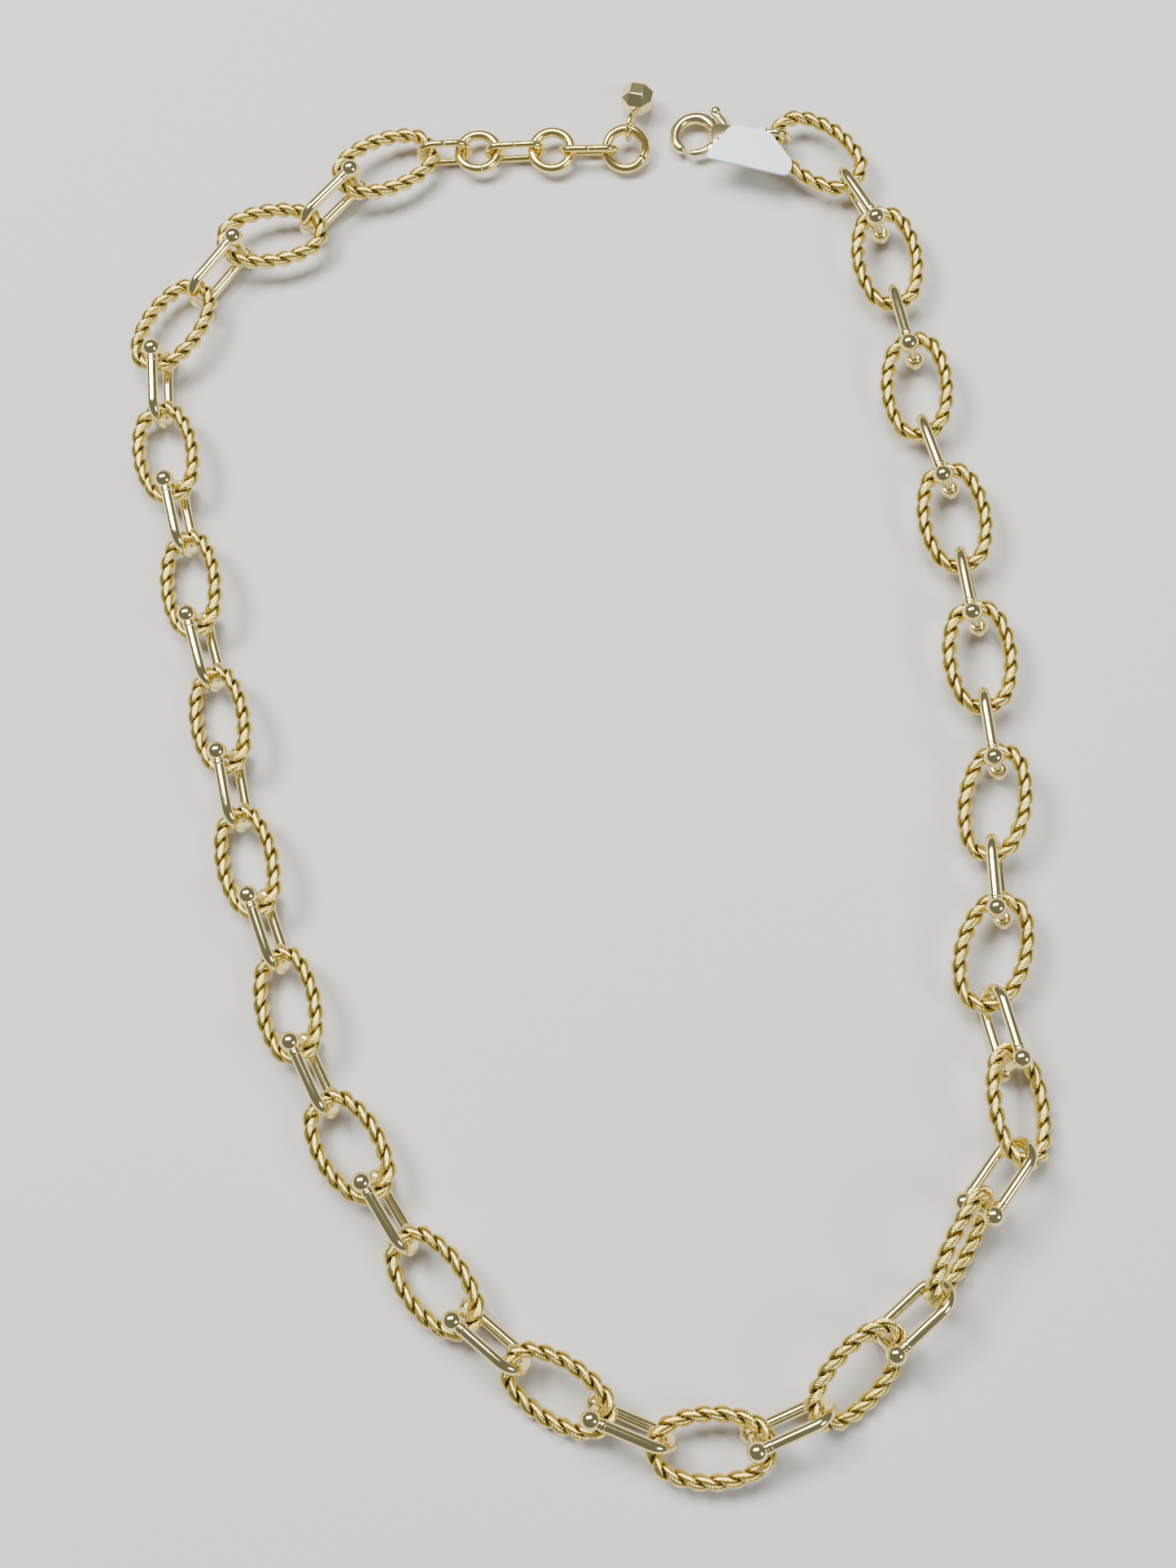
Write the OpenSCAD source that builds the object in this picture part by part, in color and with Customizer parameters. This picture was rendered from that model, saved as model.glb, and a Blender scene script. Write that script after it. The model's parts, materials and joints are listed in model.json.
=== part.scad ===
// Chain necklace: rope-twist oval links joined by ball-ended shackles, a ring extender with a
// charm at one end and a lobster clasp with its price tag at the other, lying on a table.
// +Z is up, the necklace lies in the XY plane and Z = 0 is the table.

/* [Rope links] */
// Length of a rope link over its ends
link_l = 17; // [15:0.5:20]
// Width of a rope link over its sides
link_w = 10.8; // [10:0.2:13]
// Thickness of the rope
rope_d = 2.4; // [2:0.1:2.5]
// Bend radius of the rope's middle line at each end
link_end_r = 3.4; // [3:0.1:3.8]

/* [Shackles] */
// From the rope that the bow goes round to the middle of the cross pin
shackle_l = 8.3; // [8:0.1:9]
// Distance between the middles of the two legs
leg_gap = 5.2; // [5.1:0.1:5.4]
// Thickness of the bow and its legs
leg_d = 1.6; // [1.3:0.1:1.7]
// Diameter of the ball at the end of each leg
ball_d = 2.8; // [2.4:0.1:3]
// Thickness of the cross pin
pin_d = 1.3; // [1:0.1:1.4]
// Thickness of the collar behind each ball
collar_d = 1.8; // [1.7:0.1:2]

/* [Extender] */
// Outside diameter of an extender ring
ring_d = 7.3; // [7:0.1:8]
// Wire thickness of an extender ring
ring_wire = 1.5; // [1.2:0.1:1.6]
// Length of an extender connector over its ends
conn_l = 9.1; // [8.8:0.1:9.6]
// Width of an extender connector over its sides
conn_w = 4.1; // [4:0.1:4.6]
// Wire thickness of the connectors and the two jump links
conn_wire = 1.1; // [0.9:0.1:1.2]
// Width of the jump link that holds the extender to the last rope link
jump_w = 4.9; // [4.9:0.1:5.4]
// Size of the charm across its flats
charm_d = 4.6; // [4:0.1:5]

/* [Clasp] */
// Bend radius of the middle line of the clasp's hook
hook_r = 3; // [2.9:0.1:3.5]
// Thickness of the hook
hook_d = 2; // [1.8:0.1:2.1]
// Thickness of the gate that closes the hook
gate_d = 1.2; // [1:0.1:1.3]
// Thickness of the clasp's lever where it runs between the cheeks
lever_t = 1; // [0.8:0.1:1.1]
// Length of the price tag
tag_l = 12.6; // [11:0.2:14]
// Width of the price tag
tag_w = 6.6; // [6:0.2:8]

/* [Fits] */
// Gap between a rope link and what hangs on it
hang_gap = 0.15; // [0.12:0.01:0.2]
// Gap between the cross pin and the rope it holds
pin_gap = 0.05; // [0.03:0.01:0.1]
// Radial gap round the clasp's rivet
rivet_gap = 0.05; // [0.02:0.01:0.08]

/* [Hidden] */
$fn = 48;
links = 22;
root_link = 10;
root_at = [18.5, -96.5, 3.36];

// Directions of the links and shackles from the clasp to the extender, in whole degrees from +X
link_dir = [-42, -82, -86, -82, -86, -98, -106, -84, -118, -132, -178,
    -210, -230, -236, -254, -252, -254, -258, -254, -298, -350, -334];
shackle_dir = [-62, -78, -74, -82, -84, -88, -76, -126, -138, -156, -202,
    -220, -238, -244, -250, -258, -254, -256, -266, -308, -314];
// Roll of each about its own direction, 0 for a link that lies flat or a shackle that stands
link_roll = [5, 0, 12, 5, 0, 22, 0, -36, -72, -42, -10,
    -32, -24, -18, -26, -30, -32, -28, -18, -8, 0, 0];
shackle_roll = [10, 12, 15, 14, 12, 15, -24, -50, -50, -32, -26,
    -32, -20, -18, -20, -22, -22, -18, -14, -10, -6];
// Rise of each along its own direction, so that every piece lies on the table or its neighbours
link_rise = [1.5, -3, -4, -3, -3, -4.5, -3.5, -0.5, -3.5, -6, -2.5,
    -3.5, -2, -3.5, -2.5, -4, -4, -2.5, -4, -2.5, -3, -6];
shackle_rise = [4.5, 4.5, 4.5, 4.5, 4, 4, 4, 3.5, -4.5, -3, 4.5,
    1, 4, 4, 4, 4, 4.5, 4, 4.5, 4, 4.5];

rope_r = rope_d / 2;
leg_r = leg_d / 2;
ball_r = ball_d / 2;
pin_r = pin_d / 2;
link_a = link_l / 2 - rope_r;
link_b = link_w / 2 - rope_r;
// A link is carried by the pin inside its clasp end and carries a bow on its extender end.
// Both can slide round the bend of the end, whose centre is end_c from the middle of the link.
end_c = link_a - link_end_r;
pin_run = link_end_r - rope_r - pin_gap - pin_r;
bow_back = rope_r + hang_gap + leg_r - leg_gap / 2;

ring_r = (ring_d - ring_wire) / 2;
wire_r = ring_wire / 2;
conn_r = conn_wire / 2;
conn_a = (conn_l - conn_wire) / 2;
conn_b = (conn_w - conn_wire) / 2;
jump_b = (jump_w - conn_wire) / 2;
fine_gap = 0.1;
hold = wire_r + fine_gap + conn_r;
rope_hold = rope_r + hang_gap + conn_r;

// Frames: [position, direction, rise, roll], with local X along the chain
function along(p, dir, rise, d) =
    p + d * [cos(rise) * cos(dir), cos(rise) * sin(dir), sin(rise)];
function across(p, dir, rise, roll, d) = p + d * [
    -cos(roll) * sin(dir) - sin(roll) * sin(rise) * cos(dir),
    cos(roll) * cos(dir) - sin(roll) * sin(rise) * sin(dir),
    sin(roll) * cos(rise)];
function link_x(i) = along([0, 0, 0], link_dir[i], link_rise[i], 1);
function link_y(i) = across([0, 0, 0], link_dir[i], link_rise[i], link_roll[i], 1);
function shackle_x(i) = along([0, 0, 0], shackle_dir[i], shackle_rise[i], 1);
// Direction d laid into the plane of link i
function in_plane(i, d) = let (turn = atan2(d * link_y(i), d * link_x(i)))
    cos(turn) * link_x(i) + sin(turn) * link_y(i);
// The point r from the centre of an end's bend, on the side that a piece pulls towards d
function on_bend(i, end, r, d) = end * end_c * link_x(i) + end * r * in_plane(i, d);
function step(i) = on_bend(i, 1, link_end_r, shackle_x(i)) + shackle_l * shackle_x(i)
    - on_bend(i + 1, -1, pin_run, shackle_x(i));
function link_at(i) = i == root_link ? root_at
    : i > root_link ? link_at(i - 1) + step(i - 1) : link_at(i + 1) - step(i);
function shackle_at(i) = link_at(i) + on_bend(i, 1, link_end_r, shackle_x(i));

module place(at, dir, rise, roll) {
    translate(at) rotate([0, 0, dir]) rotate([0, -rise, 0]) rotate([roll, 0, 0]) children();
}

// A closed wire oval of two end arcs and two wide side arcs; a and b are its half sizes.
// The side arcs run a little way into the end arcs, which are a hair thicker there.
module oval(a, b, end_r, wire) {
    lap = 1;
    hair = 0.01;
    run = a - end_r;
    side_r = (run * run + b * b - end_r * end_r) / (2 * (b - end_r));
    turn = atan2(side_r - b, run);
    for (s = [0, 180]) rotate([0, 0, s]) {
        translate([run, 0, 0]) rotate([0, 0, -turn])
            rotate_extrude(angle = 2 * turn) translate([end_r, 0]) circle(wire + hair);
        translate([0, b - side_r, 0]) rotate([0, 0, turn - lap])
            rotate_extrude(angle = 180 - 2 * (turn - lap)) translate([side_r, 0]) circle(wire);
    }
}

// A closed wire loop with straight sides; a and b are its half sizes
module loop(a, b, wire) {
    for (s = [0, 180]) rotate([0, 0, s]) {
        translate([a - b, 0, 0]) rotate([0, 0, -90])
            rotate_extrude(angle = 180) translate([b, 0]) circle(wire);
        translate([b - a, b, 0]) rotate([0, 90, 0]) cylinder(r = wire, h = 2 * (a - b));
    }
}

module ring(r, wire) {
    rotate_extrude() translate([r, 0]) circle(wire);
}

module rope_link(i) {
    color("gold") place(link_at(i), link_dir[i], link_rise[i], link_roll[i])
        oval(link_a, link_b, link_end_r, rope_r);
}

// The bow with its legs, collars and balls, and the pin that is brazed between the balls
module shackle(i) {
    collar_l = 0.6;
    color("khaki") place(shackle_at(i), shackle_dir[i], shackle_rise[i], shackle_roll[i]) {
        translate([-bow_back, 0, 0]) rotate([90, 0, 0]) rotate([0, 0, 90])
            rotate_extrude(angle = 180) translate([leg_gap / 2, 0]) circle(leg_r);
        for (s = [-1, 1]) translate([0, 0, s * leg_gap / 2]) {
            translate([-bow_back, 0, 0]) rotate([0, 90, 0])
                cylinder(r = leg_r, h = shackle_l + bow_back);
            translate([shackle_l - ball_r - collar_l / 2, 0, 0]) rotate([0, 90, 0])
                cylinder(d = collar_d, h = collar_l);
            translate([shackle_l, 0, 0]) sphere(ball_r);
        }
        braze = 0.02;
        difference() {
            translate([shackle_l, 0, 0]) cylinder(r = pin_r, h = leg_gap, center = true);
            for (s = [-1, 1]) translate([shackle_l, 0, s * leg_gap / 2]) sphere(ball_r + braze);
        }
    }
}

// Extender: a jump link, then rings and connectors in turn
jump_dir = -354;
jump_rise = -6;
jump_at = link_at(links - 1)
    + on_bend(links - 1, 1, link_end_r, along([0, 0, 0], jump_dir, jump_rise, 1));
ext_dir = [-364, -358, -362, -360, -356];
ext_roll = [0, 80, 8, -68, 22];
ring_span = 2 * ring_r - hold;
conn_span = 2 * conn_a - hold;
jump_a = 3.6;
function ext_len(k) = k % 2 == 0 ? ring_span : conn_span;
function ext_at(k) = k == 0 ? along(jump_at, jump_dir, jump_rise, 2 * jump_a - rope_hold)
    : along(ext_at(k - 1), ext_dir[k - 1], 0, ext_len(k - 1));

module extender_jump_link() {
    color("gold") place(jump_at, jump_dir, jump_rise, 78)
        translate([jump_a - rope_hold, 0, 0]) loop(jump_a, jump_b, conn_r);
}

module extender_ring(k) {
    color("gold") place(ext_at(k), ext_dir[k], 0, ext_roll[k])
        translate([ring_r - hold, 0, 0]) ring(ring_r, wire_r);
}

module extender_connector(k) {
    color("gold") place(ext_at(k), ext_dir[k], 0, ext_roll[k])
        translate([conn_a - hold, 0, 0]) loop(conn_a, conn_b, conn_r);
}

// The charm hangs from the last ring on a small ring of its own
charm_ring_r = 1.9;
charm_wire = 0.4;
charm_hold = wire_r + fine_gap + charm_wire;
charm_dir = -282;
charm_from = 75;
charm_hook = across(along(ext_at(4), ext_dir[4], 0, ring_r - hold + ring_r * cos(charm_from)),
    ext_dir[4], 0, ext_roll[4], ring_r * sin(charm_from));
charm_rise = -4;
bail_r = 0.9;
charm_at = along(charm_hook, charm_dir, charm_rise,
    2 * charm_ring_r - charm_hold + bail_r - charm_wire - fine_gap - charm_wire);

module charm_ring() {
    color("gold") place(charm_hook, charm_dir, charm_rise, 90)
        translate([charm_ring_r - charm_hold, 0, 0]) ring(charm_ring_r, charm_wire);
}

module charm() {
    color("khaki") place(charm_at, charm_dir, charm_rise, 0) {
        ring(bail_r, charm_wire);
        translate([bail_r + charm_d / 2, 0, 0]) intersection() {
            cube(charm_d, center = true);
            rotate([45, 0, 0]) cube(charm_d, center = true);
            rotate([0, 45, 0]) cube(charm_d, center = true);
            rotate([0, 0, 45]) cube(charm_d, center = true);
        }
    }
}

// Clasp end: a jump link through the first rope link, the clasp and the price tag
clasp_jump_dir = -186;
clasp_jump_rise = -14;
clasp_jump_roll = 80;
clasp_jump_a = 2.8;
clasp_jump_at = link_at(0)
    + on_bend(0, -1, link_end_r, -along([0, 0, 0], clasp_jump_dir, clasp_jump_rise, 1));
eye_r = 1.3;
eye_wire = 0.5;
eye_hold = conn_r + fine_gap + eye_wire;
clasp_dir = -188;
clasp_rise = -4;
clasp_at = along(clasp_jump_at, clasp_jump_dir, clasp_jump_rise, 2 * clasp_jump_a - rope_hold);

// Clasp, in its own frame: X runs from its eye to the middle of its hook
hook_x = hook_r + 5.4;
hook_pipe = hook_d / 2;
hook_from = 195;
hook_to = 410;
gate_r = gate_d / 2;
gate_from = 92;
gate_to = 135;
pivot = [4.6, 1];
cheek_t = 0.5;
cheek_r = 1.5;
slot_gap = 0.05;
rivet_r = 0.4;
hub_r = 0.9;
thumb_r = hook_r + 1.7;
thumb_to = 240;
spring_wire = 0.1;
spring_r = 0.57;
spring_z = 0.35;

module in_clasp() {
    place(clasp_at, clasp_dir, clasp_rise, 0) children();
}

module arc_bar(r, from, to, wire) {
    tip_more = 0.03;
    rotate([0, 0, from]) rotate_extrude(angle = to - from) translate([r, 0]) circle(wire);
    for (turn = [from, to]) rotate([0, 0, turn]) translate([r, 0, 0]) sphere(wire + tip_more);
}

module flat_bar(from, to, width, t) {
    run = to - from;
    translate(from) rotate([0, 0, atan2(run[1], run[0])]) translate([0, -width / 2, -t / 2])
        cube([norm(run), width, t]);
}

module clasp_jump_link() {
    color("gold") place(clasp_jump_at, clasp_jump_dir, clasp_jump_rise, clasp_jump_roll)
        translate([clasp_jump_a - rope_hold, 0, 0]) loop(clasp_jump_a, jump_b, conn_r);
}

// Eye, neck with two cheeks, and the hook
module clasp_body() {
    cheek_z = lever_t / 2 + slot_gap;
    neck = [1.7, 2.5];
    neck_w = 2.4;
    tip_more = 0.03;
    color("palegoldenrod") in_clasp() difference() {
        union() {
            translate([eye_r - eye_hold, 0, 0]) ring(eye_r, eye_wire);
            translate([neck[0], -neck_w / 2, -cheek_z - cheek_t])
                cube([neck[1] - neck[0], neck_w, 2 * (cheek_z + cheek_t)]);
            for (z = [-cheek_z - cheek_t, cheek_z]) translate([0, 0, z]) linear_extrude(cheek_t) {
                translate(pivot) circle(cheek_r);
                polygon([[neck[0], -neck_w / 2], [5.6, -1.8], [6.1, -0.2], [5.2, 2.3],
                    [3.6, 2], [neck[0], neck_w / 2]]);
            }
            translate([hook_x, 0, 0]) {
                rotate([0, 0, hook_from]) rotate_extrude(angle = hook_to - hook_from)
                    translate([hook_r, 0]) circle(hook_pipe);
                rotate([0, 0, hook_to]) translate([hook_r, 0, 0]) sphere(hook_pipe + tip_more);
            }
        }
        translate(pivot) cylinder(r = rivet_r + 0.01, h = 4, center = true);
    }
}

module clasp_rivet() {
    head = 0.1;
    color("gold") in_clasp() translate(pivot)
        cylinder(r = rivet_r, h = 2 * (lever_t / 2 + slot_gap + cheek_t + head), center = true);
}

module clasp_spring() {
    color("silver") in_clasp() translate([pivot[0], pivot[1], spring_z]) ring(spring_r, spring_wire);
}

// Gate, hub and thumb tab in one piece, with a pocket for the spring in its hub
module clasp_lever() {
    arm_w = 0.8;
    arm_from = 177;
    gate_start = [hook_x + hook_r * cos(gate_to), hook_r * sin(gate_to)];
    arm_start = [hook_x + thumb_r * cos(arm_from), thumb_r * sin(arm_from)];
    thumb_at = thumb_r + 0.35;
    color("gold") in_clasp() difference() {
        union() {
            translate(pivot) cylinder(r = hub_r, h = lever_t, center = true);
            flat_bar(pivot, gate_start, 1.1, lever_t);
            flat_bar(pivot, arm_start, 1.1, lever_t);
            translate([hook_x, 0, 0]) {
                arc_bar(hook_r, gate_from, gate_to, gate_r);
                rotate([0, 0, arm_from]) rotate_extrude(angle = thumb_to - arm_from)
                    translate([thumb_r, 0]) square([arm_w, lever_t], center = true);
                rotate([0, 0, thumb_to]) translate([thumb_at, 0, 0]) sphere(0.85);
            }
        }
        translate(pivot) cylinder(r = rivet_r + rivet_gap, h = 4, center = true);
        translate([pivot[0], pivot[1], spring_z - 0.15]) cylinder(r = 0.72, h = 2);
    }
}

// A folded label on a neck that turns round the upper wire of the clasp's jump link
tag_dir = -16;
tag_t = 0.5;
tag_neck_r = 0.9;
tag_neck_gap = 0.12;
tag_neck_l = 1;
tag_neck_at = 1.35;
tag_corner = 1.6;
tag_shift = [-1.5, -2.9];
tag_at = across(along(clasp_jump_at, clasp_jump_dir, clasp_jump_rise, tag_neck_at),
    clasp_jump_dir, clasp_jump_rise, clasp_jump_roll, jump_b);

module price_tag() {
    run = [tag_l / 2 - tag_corner, tag_w / 2 - tag_corner];
    color("white") difference() {
        union() {
            place(tag_at, clasp_jump_dir, clasp_jump_rise, 0) rotate([0, 90, 0])
                cylinder(r = tag_neck_r, h = tag_neck_l, center = true);
            translate(tag_at + [tag_shift[0], tag_shift[1], tag_neck_r - tag_t / 2])
                rotate([0, 0, tag_dir]) {
                    cube([tag_l, 2 * run[1], tag_t], center = true);
                    cube([2 * run[0], tag_w, tag_t], center = true);
                    for (x = [-run[0], run[0]], y = [-run[1], run[1]]) translate([x, y, 0])
                        cylinder(r = tag_corner, h = tag_t, center = true);
                }
        }
        place(tag_at, clasp_jump_dir, clasp_jump_rise, 0) rotate([0, 90, 0])
            cylinder(r = conn_r + tag_neck_gap, h = 2 * tag_l, center = true);
    }
}

function two_digits(n) = str(n < 10 ? "0" : "", n);
LINKS = [for (i = [1:links]) str("rope_link_", two_digits(i))];
SHACKLES = [for (i = [1:links - 1]) str("shackle_", two_digits(i))];

for (i = [0:links - 1]) rope_link(i);
for (i = [0:links - 2]) shackle(i);
extender_jump_link();
extender_ring(0);  // extender_ring_1
extender_connector(1);  // extender_connector_1
extender_ring(2);  // extender_ring_2
extender_connector(3);  // extender_connector_2
extender_ring(4);  // extender_ring_3
charm_ring();
charm();
clasp_jump_link();
clasp_body();
clasp_rivet();
clasp_spring();
clasp_lever();
price_tag();
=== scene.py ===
"""Chain necklace of rope-twist links, shackles, a ring extender, a charm, a clasp and a tag."""

import json
import logging
import math
from dataclasses import dataclass
from enum import Enum
from typing import Optional, Union

import bpy
import numpy as np
from mathutils import Matrix, Vector

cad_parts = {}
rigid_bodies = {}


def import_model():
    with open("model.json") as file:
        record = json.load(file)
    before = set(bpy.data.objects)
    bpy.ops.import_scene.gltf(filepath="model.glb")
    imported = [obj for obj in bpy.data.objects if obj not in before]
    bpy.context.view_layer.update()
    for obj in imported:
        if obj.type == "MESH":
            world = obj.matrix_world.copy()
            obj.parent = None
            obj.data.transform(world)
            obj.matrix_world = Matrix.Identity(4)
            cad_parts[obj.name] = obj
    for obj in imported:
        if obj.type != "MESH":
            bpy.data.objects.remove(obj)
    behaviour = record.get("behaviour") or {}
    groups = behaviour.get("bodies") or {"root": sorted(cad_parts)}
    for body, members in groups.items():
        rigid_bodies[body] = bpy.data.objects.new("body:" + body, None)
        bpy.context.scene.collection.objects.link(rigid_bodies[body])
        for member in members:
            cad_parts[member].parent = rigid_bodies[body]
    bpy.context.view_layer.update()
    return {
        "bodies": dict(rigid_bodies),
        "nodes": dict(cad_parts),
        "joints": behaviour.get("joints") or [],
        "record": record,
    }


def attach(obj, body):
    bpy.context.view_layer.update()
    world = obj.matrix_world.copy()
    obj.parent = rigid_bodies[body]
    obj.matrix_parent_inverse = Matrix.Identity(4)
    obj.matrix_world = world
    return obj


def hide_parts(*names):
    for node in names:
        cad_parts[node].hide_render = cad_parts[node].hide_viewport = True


LOG = logging.getLogger("necklace")
MM = 0.001
UP = np.array((0.0, 0.0, 1.0))


class Slot(Enum):
    """The record's material slots."""

    ROPE = "rope_gold"
    POLISHED = "polished_gold"
    EXTENDER = "extender_gold"
    CLASP = "clasp_gold"
    SPRING = "spring_steel"
    TAG = "tag_card"


# ---------------------------------------------------------------- finishes


@dataclass(frozen=True)
class PlateFinish:
    """Electroplated metal with a light cloud of colour, fine wear and painted shade that darkens the hollows.
    """

    name: str
    light: tuple
    roughness: float
    crevice_shade_colour: Optional[tuple] = None
    cloud_per_m: float = 260.0
    fine_per_m: float = 2340.0
    scratch: float = 0.05
    scratch_depth: float = 0.03 * MM

    def material(self) -> bpy.types.Material:
        """Builds the node material.

        Returns:
            The material, used by every piece of this finish.
        """
        found = bpy.data.materials.get(self.name)
        if found:
            return found
        mat = bpy.data.materials.new(self.name)
        mat.use_nodes = True
        tree = mat.node_tree
        nodes, links = tree.nodes, tree.links
        shader = nodes["Principled BSDF"]
        shader.inputs["Metallic"].default_value = 1.0
        coord = nodes.new("ShaderNodeTexCoord")
        cloud = nodes.new("ShaderNodeTexNoise")
        cloud.inputs["Scale"].default_value = self.cloud_per_m
        cloud.inputs["Detail"].default_value = 4.0
        links.new(coord.outputs["Object"], cloud.inputs["Vector"])
        tone = nodes.new("ShaderNodeValToRGB")
        tone.color_ramp.elements[0].position = 0.3
        tone.color_ramp.elements[0].color = (*[c * 0.93 for c in self.light], 1)
        tone.color_ramp.elements[1].position = 0.7
        tone.color_ramp.elements[1].color = (*self.light, 1)
        links.new(cloud.outputs["Fac"], tone.inputs["Fac"])
        colour = tone.outputs["Color"]
        # Painted shade: the base colour is mixed towards a dark colour by the rope's crevice attribute,
        # darkening the crevices between its wires.
        if self.crevice_shade_colour:
            depth = nodes.new("ShaderNodeAttribute")
            depth.attribute_name = "painted_crevice_shade"
            mix = nodes.new("ShaderNodeMix")
            mix.data_type = "RGBA"
            mix.inputs["B"].default_value = (*self.crevice_shade_colour, 1)
            links.new(depth.outputs["Fac"], mix.inputs["Factor"])
            links.new(colour, mix.inputs["A"])
            colour = mix.outputs["Result"]
        links.new(colour, shader.inputs["Base Color"])
        fine = nodes.new("ShaderNodeTexNoise")
        fine.inputs["Scale"].default_value = self.fine_per_m
        fine.inputs["Detail"].default_value = 3.0
        links.new(coord.outputs["Object"], fine.inputs["Vector"])
        span = nodes.new("ShaderNodeMapRange")
        span.inputs["To Min"].default_value = self.roughness * 0.75
        span.inputs["To Max"].default_value = self.roughness * 1.35
        links.new(fine.outputs["Fac"], span.inputs["Value"])
        links.new(span.outputs["Result"], shader.inputs["Roughness"])
        bump = nodes.new("ShaderNodeBump")
        bump.inputs["Strength"].default_value = self.scratch
        bump.inputs["Distance"].default_value = self.scratch_depth
        links.new(fine.outputs["Fac"], bump.inputs["Height"])
        links.new(bump.outputs["Normal"], shader.inputs["Normal"])
        return mat


@dataclass(frozen=True)
class CardFinish:
    """Coated white card with faint fibres and a soft sheen."""

    name: str = "card_white"
    white: tuple = (0.74, 0.80, 0.86)
    fibres_per_m: float = 1800.0
    fibre_depth: float = 0.04 * MM

    def material(self) -> bpy.types.Material:
        """Builds the node material.

        Returns:
            The card material.
        """
        mat = bpy.data.materials.new(self.name)
        mat.use_nodes = True
        nodes, links = mat.node_tree.nodes, mat.node_tree.links
        shader = nodes["Principled BSDF"]
        shader.inputs["Roughness"].default_value = 0.55
        coord = nodes.new("ShaderNodeTexCoord")
        fibre = nodes.new("ShaderNodeTexNoise")
        fibre.inputs["Scale"].default_value = self.fibres_per_m
        fibre.inputs["Detail"].default_value = 5.0
        links.new(coord.outputs["Object"], fibre.inputs["Vector"])
        tone = nodes.new("ShaderNodeValToRGB")
        tone.color_ramp.elements[0].color = (*[c * 0.94 for c in self.white], 1)
        tone.color_ramp.elements[1].color = (*self.white, 1)
        links.new(fibre.outputs["Fac"], tone.inputs["Fac"])
        links.new(tone.outputs["Color"], shader.inputs["Base Color"])
        bump = nodes.new("ShaderNodeBump")
        bump.inputs["Strength"].default_value = 0.15
        bump.inputs["Distance"].default_value = self.fibre_depth
        links.new(fibre.outputs["Fac"], bump.inputs["Height"])
        links.new(bump.outputs["Normal"], shader.inputs["Normal"])
        return mat


# The rope's third colour is painted shade for the crevices between its wires.
ROPE_GOLD = PlateFinish("rope_gold_plate", (0.93, 0.77, 0.24), 0.18, crevice_shade_colour=(0.34, 0.24, 0.04))
BRIGHT_GOLD = PlateFinish("bright_gold_plate", (0.91, 0.78, 0.36), 0.1)
EXTENDER_GOLD = PlateFinish("extender_gold_plate", (0.91, 0.73, 0.24), 0.15)
CLASP_GOLD = PlateFinish("clasp_gold_plate", (0.93, 0.80, 0.38), 0.13)
SPRING_STEEL = PlateFinish("spring_steel_wire", (0.62, 0.63, 0.66), 0.25)


# ---------------------------------------------------------------- bench


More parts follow.
